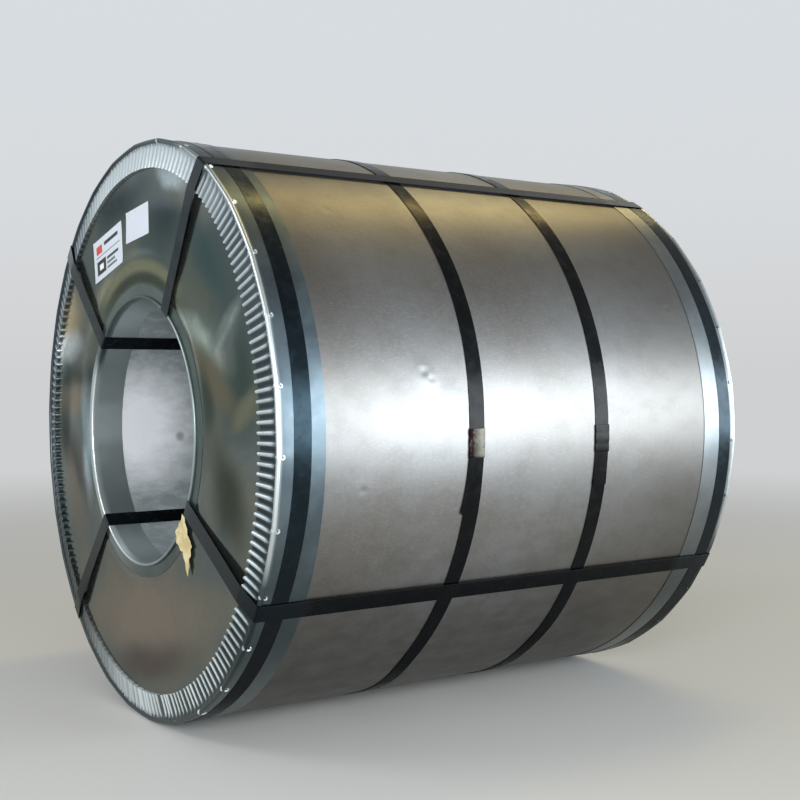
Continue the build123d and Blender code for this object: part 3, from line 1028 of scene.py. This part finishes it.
def makeSleeve():
    # a flat sleeve seal: a strip folded round the band, its edges nipped by the crimping tool.
    # It is drawn at the origin: x along the band, y across, z off the coil, with its underside at zero.
    length, width, height = seal["length"], seal["width"], seal["height"]
    deselectAll()
    bpy.ops.mesh.primitive_cube_add(size=1, location=(0, 0, height / 2), scale=(length, width, height))
    sleeve = bpy.context.object
    bpy.ops.object.transform_apply(location=True, rotation=True, scale=True)
    cuts = [((length * (i / seal["slices"] - 0.5), 0, 0), (1, 0, 0)) for i in range(1, seal["slices"])]
    cuts += [((0, width * share, 0), (0, 1, 0)) for share in (-0.42, -0.3, 0.3, 0.42)]
    bpy.ops.object.mode_set(mode="EDIT")
    for place, normal in cuts:
        bpy.ops.mesh.select_all(action="SELECT")
        bpy.ops.mesh.bisect(plane_co=place, plane_no=normal)
    bpy.ops.object.mode_set(mode="OBJECT")

    def nipped(place):
        # two shallow notches on each side, where the jaws have pressed the edges down and in
        near = exp(-((abs(place.x) - length * 0.2) / (length * 0.075)) ** 2)
        nip = near * max(0, (abs(place.y) - width * 0.28) / (width * 0.22))
        return Vector((place.x, place.y * (1 - 0.02 * nip), place.z * (1 - 0.2 * nip)))

    moveVertices(sleeve, nipped)
    applyModifier(
        sleeve, "BEVEL", width=0.25 * mm, segments=2, limit_method="ANGLE", angle_limit=radians(55)
    )
    return sleeve


def makeGirthBand(number, y, seatName, sealAngle, tail, skew, wander):
    y, seat, tail, skew = y * mm, girthBands[seatName], tail * mm, skew * mm
    top = seat + band["sheet"]
    halfSeal = degrees(seal["length"] / 2 / top)
    lapStart = sealAngle - halfSeal - degrees(tail / top)
    under = turnShell(bandSection(y, seat), girthBands["columns"])
    over = turnShell(bandSection(y, top), girthBands["columns"] * 2)
    keepArc(over, lapStart, sealAngle + halfSeal)
    selectVertices(over, lambda place: True)
    bpy.ops.mesh.region_to_loop()
    bpy.ops.mesh.edge_face_add()
    bpy.ops.object.mode_set(mode="OBJECT")
    for part in (under, over):
        closeUp(part, 0.001 * mm)

    def wandered(place, loose):
        radius, angle = polar(place)
        offset = blendAngles(wander, angle) * mm
        past = 0
        if loose:
            gone = ((sealAngle - halfSeal - degrees(angle) + 180) % 360 - 180) / degrees(tail / top)
            past = max(0, min(1, gone))
        return onCoil(place.y + offset + skew * past ** 1.5, radius + 1.6 * mm * past ** 3, angle)

    moveVertices(under, lambda place: wandered(place, False))
    moveVertices(over, lambda place: wandered(place, True))
    joinInto(under, [over])
    smooth(under, 40)
    dress(under, f"girthBand{number}", f"girth_band_{number}", "band_paint", bandFinish)

    sleeve = makeSleeve()
    middle = radians(sealAngle)
    offset = blendAngles(wander, middle) * mm

    def seated(place):
        return onCoil(y + offset + place.y, seat + 0.05 * mm + place.z, middle + place.x / seat)

    if number == 2:
        # dark red-brown along the edge next to the labelled end
        markWearAndPaintedLight(sleeve, lambda place: 1 if place.y < -9 * mm else 0)
    moveVertices(sleeve, seated)
    closeUp(sleeve, 0.001 * mm)
    smooth(sleeve, 40)
    finish = bandFinish if number == 3 else sealFinish  # the third seal was painted over
    dress(sleeve, f"girthSeal{number}", f"girth_seal_{number}", "seal_steel", finish)


for number, details in enumerate(girthBands["bands"], start=1):
    makeGirthBand(number, *details)
print("girth bands made")


# The steel bands through the eye: one is modelled, and copied round

eyeBands = {
    "angles": (60, 137, 228, 330),
    "corners": (  # y, radius and bend of the inner face, front lip first
        (-528.2, 251.9, 3.1), (-529.5, 496.3, 6.0), (-522.2, 552.7, 4.3),
        (522.2, 552.7, 4.3), (529.5, 496.3, 6.0), (514.2, 251.9, 3.1),
    ),
    "runStep": 30 * mm,
    "sealReach": 0.62,  # share of the back end's run, from the bore outwards
    "tail": 70 * mm,
}


def roundedRoute():
    # the loop's points: an arc at each corner and evenly spaced points on the runs
    corners = eyeBands["corners"]
    points = []
    for i, (y, radius, bend) in enumerate(corners):
        here = Vector((y, radius)) * mm
        before = Vector(corners[i - 1][:2]) * mm
        after = Vector(corners[(i + 1) % len(corners)][:2]) * mm
        inwards, outwards = (here - before).normalized(), (after - here).normalized()
        turned = atan2(inwards.x * outwards.y - inwards.y * outwards.x, inwards.dot(outwards))
        reach = bend * mm * tan(abs(turned) / 2)
        start, end = here - inwards * reach, here + outwards * reach
        centre = start + Vector((-inwards.y, inwards.x)) * copysign(bend * mm, turned)
        arm = start - centre
        steps = max(2, int(abs(degrees(turned)) / 12))
        for angle in [turned * k / steps for k in range(steps + 1)]:
            across = arm.x * cos(angle) - arm.y * sin(angle)
            up = arm.x * sin(angle) + arm.y * cos(angle)
            points.append(centre + Vector((across, up)))
        run = (after - end) * 0.985
        count = max(1, int((after - end).length / eyeBands["runStep"]))
        points += [end + run * k / count for k in range(1, count)]
    return points


def makeFlatStrip(route, width, closed):
    # an edge as wide as the band, extruded from point to point of a (y, radius) route, level with the axis
    deselectAll()
    bpy.ops.mesh.primitive_plane_add(
        size=width, rotation=(radians(90), 0, 0), location=(route[0].y, route[0].x, axisHeight)
    )
    strip = bpy.context.object
    bpy.ops.object.transform_apply(location=True, rotation=True, scale=True)
    selectVertices(strip, lambda place: place.x > route[0].y)
    bpy.ops.mesh.delete(type="VERT")
    bpy.ops.mesh.select_all(action="SELECT")
    bpy.ops.transform.translate(value=(width / 2, 0, 0))
    here = route[0]
    for point in route[1:] + ([route[0]] if closed else []):
        step = (point.y - here.y, point.x - here.x, 0)
        bpy.ops.mesh.extrude_region_move(TRANSFORM_OT_translate={"value": step})
        here = point
    bpy.ops.mesh.select_all(action="SELECT")
    if closed:
        bpy.ops.mesh.remove_doubles(threshold=0.01 * mm)
    bpy.ops.mesh.normals_make_consistent(inside=False)
    bpy.ops.object.mode_set(mode="OBJECT")
    return strip


def makeEyeBandMaster():
    corners = eyeBands["corners"]
    loop = makeFlatStrip(roundedRoute(), band["width"], True)
    low, high = Vector(corners[-1][:2]) * mm, Vector(corners[-2][:2]) * mm
    along = (high - low).normalized()
    away = Vector((along.y, -along.x))
    spot = low + (high - low) * eyeBands["sealReach"] + away * band["sheet"]
    half = seal["length"] / 2
    steps = [-half, 0, half] + [half + eyeBands["tail"] * share for share in (0.2, 0.4, 0.6, 0.8, 1)]
    over = makeFlatStrip([spot + along * step for step in steps], band["width"], False)
    return loop, over, spot, along, away


def thickenBand(piece):
    # the bands are drawn by their inner face, and thickened off the coil
    applyModifier(piece, "SOLIDIFY", thickness=band["sheet"], offset=1.0, use_even_offset=True)
    applyModifier(
        piece, "BEVEL", width=0.15 * mm, segments=1, limit_method="ANGLE", angle_limit=radians(60)
    )


def makeEyeBands():
    loop, over, spot, along, away = makeEyeBandMaster()
    for part in (loop, over):
        thickenBand(part)
    joinInto(loop, [over])
    sleeve = makeSleeve()
    base = spot - away * band["sheet"] + away * 0.02 * mm

    def seated(place):
        point = base + along * place.x + away * place.z
        return Vector((point.y, point.x, axisHeight + place.y))

    moveVertices(sleeve, seated)
    closeUp(sleeve, 0.001 * mm)
    for number, angle in enumerate(eyeBands["angles"], start=1):
        turn = radians(angle)

        def turned(place):
            return Vector((
                place.x * cos(turn) - (place.z - axisHeight) * sin(turn),
                place.y,
                axisHeight + place.x * sin(turn) + (place.z - axisHeight) * cos(turn),
            ))

        for master, name, node, slotName, finish in (
            (loop, f"eyeBand{number}", f"eye_band_{number}", "band_paint", bandFinish),
            (sleeve, f"eyeSeal{number}", f"eye_seal_{number}", "seal_steel", sealFinish),
        ):
            piece = copyOf(master)
            moveVertices(piece, turned)
            smooth(piece, 40)
            dress(piece, name, node, slotName, finish)
    for master in (loop, sleeve):
        bpy.data.objects.remove(master)


makeEyeBands()
print("eye bands made")


# The paper labels, which follow the cover under them

labels = {
    "sheet": 0.25 * mm,
    "printed": {"size": (160, 86), "centre": (-171, 354), "tilt": 12.5},
    "blank": {"size": (116, 61), "centre": (-15, 399), "tilt": 5.5},
}


def makeLabel(name, node, finish):
    (width, height), (cx, cz), tilt = (labels[name][key] for key in ("size", "centre", "tilt"))
    deselectAll()
    bpy.ops.mesh.primitive_grid_add(x_subdivisions=20, y_subdivisions=12, size=1)
    paper = bpy.context.object
    turn = radians(tilt)

    def laid(place):
        u, v = place.x * width * mm, place.y * height * mm
        x = cx * mm + u * cos(turn) - v * sin(turn)
        z = cz * mm + u * sin(turn) + v * cos(turn)
        corner = max(0, abs(place.x) + abs(place.y) - 0.86) / 0.14
        lift = 0.12 * mm + 0.5 * mm * corner ** 2
        reach = coil["halfWidth"] + coil["sheet"] + slipAt(hypot(x, z)) + buckleAt("front", x, z) + lift
        return Vector((x, -reach - labels["sheet"] / 2, axisHeight + z))

    moveVertices(paper, laid)
    closeUp(paper, 0.001 * mm)
    thicken(paper, labels["sheet"])
    smooth(paper, 40)
    return dress(paper, f"{name}Label", node, "label_paper", finish)


labelPrints = (  # a plain made-up layout
    (0.26, 0.30, 0.16, 0.17, "#14171a"), (0.26, 0.30, 0.07, 0.07, "#f1f1f3"),
    (0.66, 0.40, 0.20, 0.035, "#33383c"), (0.60, 0.28, 0.14, 0.03, "#5d6468"),
    (0.63, 0.17, 0.17, 0.03, "#5d6468"), (0.20, 0.74, 0.10, 0.10, "#c8402f"),
    (0.62, 0.80, 0.24, 0.045, "#14171a"), (0.50, 0.57, 0.42, 0.012, "#5d6468"),
)
makeLabel("printed", "printed_label", makePaperFinish("printedLabelPaper", labelPrints))
makeLabel("blank", "blank_label", makePaperFinish("blankLabelPaper"))
print("labels made")


# The scrap of torn card under the band at the bore

card = {
    "sheet": 0.7 * mm,
    "reach": 528.5 * mm,
    "outline": (  # x and z from the axis, in mm
        (207, -140), (216, -146), (219, -156), (227, -163), (226, -173), (238, -182),
        (247, -193), (241, -201), (243, -209), (235, -217), (236, -230), (229, -247),
        (222, -236), (219, -224), (212, -217), (207, -207), (196, -205), (191, -197),
        (179, -194), (182, -182), (175, -173), (187, -166), (193, -157), (202, -151),
    ),
}


def makeCard():
    deselectAll()
    outline = card["outline"]
    bpy.ops.mesh.primitive_circle_add(vertices=len(outline), radius=0.05, fill_type="NGON")
    scrap = bpy.context.object
    for vertex, (x, z) in zip(scrap.data.vertices, outline):
        vertex.co = Vector((x * mm, -card["reach"], axisHeight + z * mm))
    makeActive(scrap)
    bpy.ops.object.mode_set(mode="EDIT")
    bpy.ops.mesh.select_all(action="SELECT")
    bpy.ops.mesh.inset(thickness=4 * mm)
    bpy.ops.mesh.select_all(action="SELECT")
    bpy.ops.mesh.quads_convert_to_tris()
    bpy.ops.mesh.subdivide(number_cuts=3)
    bpy.ops.object.mode_set(mode="OBJECT")
    rng = random.Random(5)

    def ragged(place):
        x, z = place.x / mm, (place.z - axisHeight) / mm
        jitter = Vector((rng.uniform(-0.9, 0.9), 0, rng.uniform(-0.9, 0.9))) * mm
        curl = 0.25 * sin(x / 9.0) + 0.2 * sin(z / 12.0 + 1)
        return place + jitter + Vector((0, -0.1 - curl * 0.25, 0)) * mm

    moveVertices(scrap, ragged)
    closeUp(scrap, 0.001 * mm)
    thicken(scrap, card["sheet"])
    smooth(scrap, 50)
    return dress(scrap, "tornCard", "torn_card", "card", cardFinish)


makeCard()
print("card made")


# Stage, lights and camera

studio = {
    "target": (0, 0, 0.55),
    # the floor turns into the backdrop between these two distances, in metres
    "floor": {"size": 80, "colour": "#d9d9d7", "fade": (1.3, 6.5)},
    "sky": (  # height of the direction, from 0 at the horizon to 1 straight up, and a grey
        (0.0, "#cfd0d1"), (0.14, "#d8dbde"), (0.42, "#d5dee4"), (0.60, "#a9acad"), (0.72, "#8f8d87"),
    ),
    "flag": {"low": (-7.0, -5.2, 0.0), "high": (-7.0, -2.5, 2.1), "colour": "#97a3a3"},
    "lamps": (  # name, place, width and height, radiance, colour
        ("sideSoftbox", (5.2, 3.5, 1.14), (5.0, 2.26), 8.2, "#eef6fb"),
        ("warmStrip", (-0.30, 1.35, 3.25), (0.35, 2.3), 5.4, "#ffe08c"),
        ("frontFill", (-0.8, -3.6, 2.9), (2.2, 1.2), 4.5, "#ffffff"),
        ("rightFill", (2.9, -2.5, 1.2), (1.4, 1.0), 17.0, "#ffffff"),
    ),
}


def startBackdrop(name):
    # a material with nothing in it but its output
    material = bpy.data.materials.new(name)
    material.use_nodes = True
    tree = material.node_tree
    tree.nodes.remove(tree.nodes["Principled BSDF"])
    return material, tree


def makeFloor():
    # a pale floor that fades into the backdrop, so that no horizon shows
    deselectAll()
    bpy.ops.mesh.primitive_plane_add(size=studio["floor"]["size"])
    floor = bpy.context.object
    floor.name = "floor"
    material, tree = startBackdrop("paleStudioFloor")
    places = addNode(tree, "ShaderNodeTexCoord").outputs["Object"]
    distance = addNode(tree, "ShaderNodeVectorMath", {0: places}, operation="LENGTH").outputs["Value"]
    matt = addNode(tree, "ShaderNodeBsdfDiffuse", {"Color": linear(studio["floor"]["colour"])})
    backdrop = addNode(tree, "ShaderNodeEmission", {"Color": linear(studio["sky"][0][1])})
    faded = shareOf(tree, (distance, *studio["floor"]["fade"]))
    mixed = addNode(tree, "ShaderNodeMixShader", {0: faded, 1: matt.outputs[0], 2: backdrop.outputs[0]})
    tree.links.new(mixed.outputs[0], tree.nodes["Material Output"].inputs["Surface"])
    floor.data.materials.append(material)


def makeFlag():
    # a grey flag to the left of the labelled end, which its glossy sheet shows as a darker slate
    low, high = studio["flag"]["low"], studio["flag"]["high"]
    deselectAll()
    bpy.ops.mesh.primitive_plane_add(size=1, rotation=(0, radians(90), 0))
    flag = bpy.context.object
    flag.name = "flag"
    bpy.ops.object.transform_apply(location=False, rotation=True, scale=False)

    def hung(place):
        y = low[1] + (high[1] - low[1]) * (place.y + 0.5)
        return Vector((low[0], y, low[2] + (high[2] - low[2]) * (place.z + 0.5)))

    moveVertices(flag, hung)
    material, tree = startBackdrop("greyFlag")
    grey = addNode(tree, "ShaderNodeEmission", {"Color": linear(studio["flag"]["colour"])})
    tree.links.new(grey.outputs[0], tree.nodes["Material Output"].inputs["Surface"])
    flag.data.materials.append(material)
    flag.visible_camera = False
    flag.visible_diffuse = False
    flag.visible_shadow = False


def makeSky():
    world = bpy.data.worlds.new("paleStudio")
    bpy.context.scene.world = world
    world.use_nodes = True
    tree = world.node_tree
    direction = addNode(tree, "ShaderNodeTexCoord").outputs["Generated"]
    height = addNode(tree, "ShaderNodeSeparateXYZ", {"Vector": direction}).outputs["Z"]
    ramp = addNode(tree, "ShaderNodeValToRGB", {"Fac": height})
    stops = ramp.color_ramp.elements
    stops.remove(stops[1])
    stops[0].color = linear(studio["sky"][0][1])
    for at, grey in studio["sky"][1:]:
        stops.new(at).color = linear(grey)
    tree.links.new(ramp.outputs["Color"], tree.nodes["Background"].inputs["Color"])


def addLamp(name, place, size, radiance, colour):
    light = bpy.data.lights.new(name, "AREA")
    light.shape = "RECTANGLE"
    light.size, light.size_y = size
    light.energy = radiance * pi * size[0] * size[1]
    light.color = linear(colour)[:3]
    lamp = bpy.data.objects.new(name, light)
    bpy.context.collection.objects.link(lamp)
    lamp.visible_camera = False
    lamp.location = place
    lamp.rotation_euler = (Vector(studio["target"]) - Vector(place)).to_track_quat("-Z", "Y").to_euler()


camera = {
    "place": (2.2337, -1.4234, 0.6651),
    "azimuth": 56.118,  # degrees, as is down, which is how far it looks below the level
    "down": 1.295,
    "lens": 55.35,
    "sensor": 36,
}


def makeCamera():
    data = bpy.data.cameras.new("camera")
    data.lens = camera["lens"]
    data.sensor_width = camera["sensor"]
    eye = bpy.data.objects.new("camera", data)
    bpy.context.collection.objects.link(eye)
    eye.location = camera["place"]
    eye.rotation_euler = (radians(90 - camera["down"]), 0, radians(camera["azimuth"]))
    bpy.context.scene.camera = eye
    bpy.context.scene.view_settings.view_transform = "Standard"


makeFloor()
makeFlag()
makeSky()
for details in studio["lamps"]:
    addLamp(*details)
makeCamera()
print("stage, lights and camera made")
